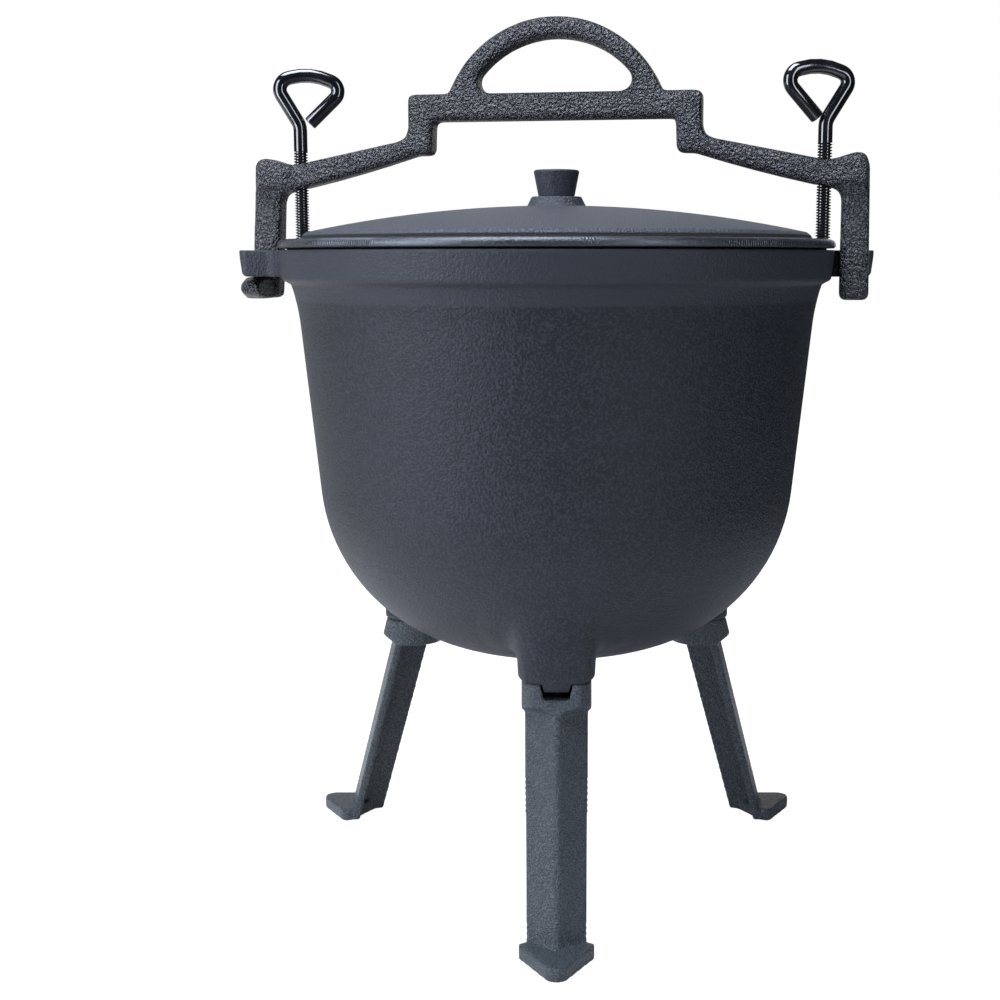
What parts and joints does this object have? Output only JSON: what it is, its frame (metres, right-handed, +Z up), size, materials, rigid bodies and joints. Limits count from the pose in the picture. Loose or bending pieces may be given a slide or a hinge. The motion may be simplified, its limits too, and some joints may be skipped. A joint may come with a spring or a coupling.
{
  "type": "cast iron cauldron",
  "caption": "Cast iron cauldron with a domed lid, bolted angle legs and a hooked carrying yoke whose thumbscrews press the lid onto the rim.",
  "frame": {"origin": "axis of the pot at floor level, the middle of the circle on which the feet stand", "axes": "+Z up along the axis of the pot, -Y towards the front leg, +X towards the lug on the right as seen from the front"},
  "size_m": [0.3439, 0.317, 0.4682],
  "materials": {
    "pot": "fine matte casting skin, dark graphite",
    "lid": "matte casting skin, flange satin",
    "yoke": "coarse casting skin, semi-gloss",
    "legs": "sandy casting skin, satin",
    "thumbscrews": "smooth gloss black",
    "fasteners": "zinc plated"
  },
  "bodies": {
    "cauldron": {"pot": "pot", "lid": "lid", "lid_knob": "lid", "knob_screw": "fasteners", "knob_washer": "fasteners", "leg_front": "legs", "leg_left": "legs", "leg_right": "legs", "leg_bolt_front": "fasteners", "leg_bolt_left": "fasteners", "leg_bolt_right": "fasteners", "leg_washer_front": "fasteners", "leg_washer_left": "fasteners", "leg_washer_right": "fasteners"},
    "yoke": {"yoke": "yoke"},
    "left_screw": {"left_thumbscrew": "thumbscrews"},
    "right_screw": {"right_thumbscrew": "thumbscrews"}
  },
  "joints": [
    {"name": "yoke_turn", "type": "hinge", "parent": "cauldron", "child": "yoke", "pos_m": [0, 0, 0.345], "axis": [0, 0, 1], "range_deg": [-150, 0]},
    {"name": "left_screw_turn", "type": "hinge", "parent": "yoke", "child": "left_screw", "pos_m": [-0.1424, 0.02511, 0.385], "axis": [0, 0, 1], "continuous": true},
    {"name": "right_screw_turn", "type": "hinge", "parent": "yoke", "child": "right_screw", "pos_m": [0.14122, -0.0249, 0.385], "axis": [0, 0, 1], "continuous": true}
  ]
}
